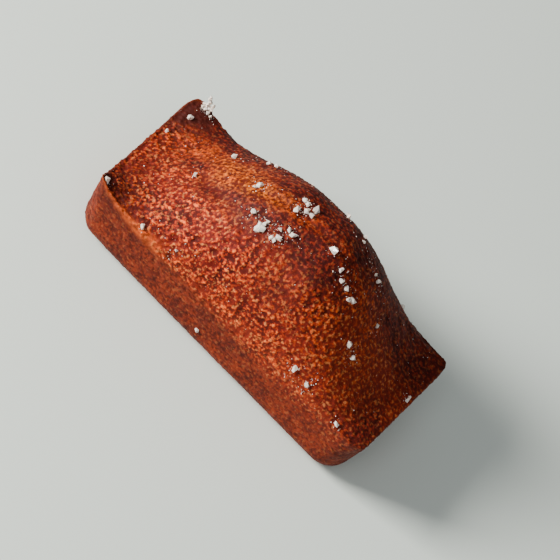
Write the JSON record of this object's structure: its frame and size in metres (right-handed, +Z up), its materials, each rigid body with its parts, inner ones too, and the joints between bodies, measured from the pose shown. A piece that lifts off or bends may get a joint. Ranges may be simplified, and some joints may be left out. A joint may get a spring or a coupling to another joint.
{
  "type": "financier cake",
  "caption": "Oblong almond cake with a flat base, straight moulded walls, a tall domed crust and coarse sugar crystals on top.",
  "frame": {"origin": "middle of the flat base that the cake stands on", "axes": "+Z up, +X along the cake's length towards its lower end, -Y towards the long side that the picture shows"},
  "size_m": [0.097, 0.0434, 0.0482],
  "materials": {
    "crust": "baked crust, even grain, dull"
  },
  "bodies": {
    "root": {"financier": "crust"}
  },
  "joints": []
}
